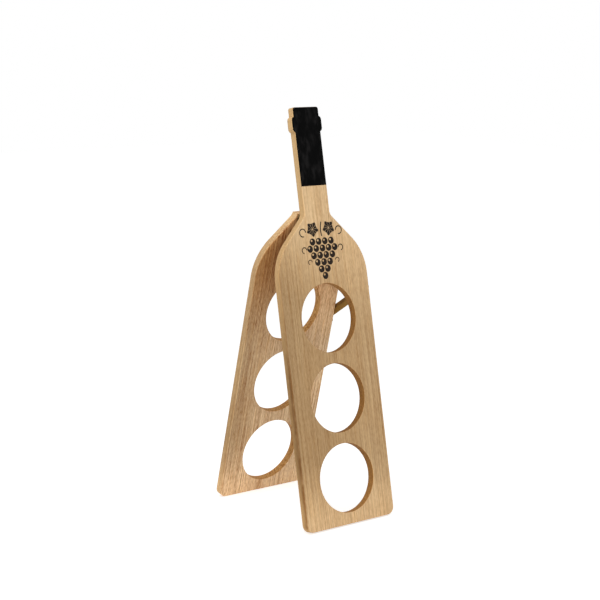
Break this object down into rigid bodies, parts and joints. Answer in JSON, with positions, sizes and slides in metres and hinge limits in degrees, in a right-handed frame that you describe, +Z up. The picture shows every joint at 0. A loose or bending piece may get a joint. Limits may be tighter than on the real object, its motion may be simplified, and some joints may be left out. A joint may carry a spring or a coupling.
{
  "type": "wine bottle holder",
  "caption": "Folding wooden stand for wine bottles: a bottle-shaped front board hinged to a rear board, with round holes that carry bottles lying level.",
  "frame": {"origin": "on the floor, midway between the feet of the two boards, on the boards' centre plane", "axes": "+Z up, -Y towards the front board's face, +X to the side that carries the stay"},
  "size_m": [0.1423, 0.19, 0.505],
  "materials": {
    "board_wood": "bare sanded light wood, the front of the neck painted matt black",
    "dark_bronze": "dark antique bronze, dull"
  },
  "bodies": {
    "front_frame": {"front_board": "board_wood", "hinge_front_leaf": "dark_bronze", "hinge_pin": "dark_bronze", "hinge_front_screws": "dark_bronze", "stay_pivot_screw": "dark_bronze"},
    "rear_frame": {"rear_board": "board_wood", "hinge_rear_leaf": "dark_bronze", "hinge_rear_screws": "dark_bronze", "stay_hook_screw": "dark_bronze"},
    "stay": {"stay_arm": "dark_bronze"}
  },
  "joints": [
    {"name": "rear_fold", "type": "hinge", "parent": "front_frame", "child": "rear_frame", "pos_m": [0, 0, 0.37311], "axis": [-1, 0, 0], "range_deg": [0, 25]},
    {"name": "stay_swing", "type": "hinge", "parent": "front_frame", "child": "stay", "pos_m": [0.0707, -0.02726, 0.28111], "axis": [1, 0, 0], "range_deg": [0, 110]}
  ]
}
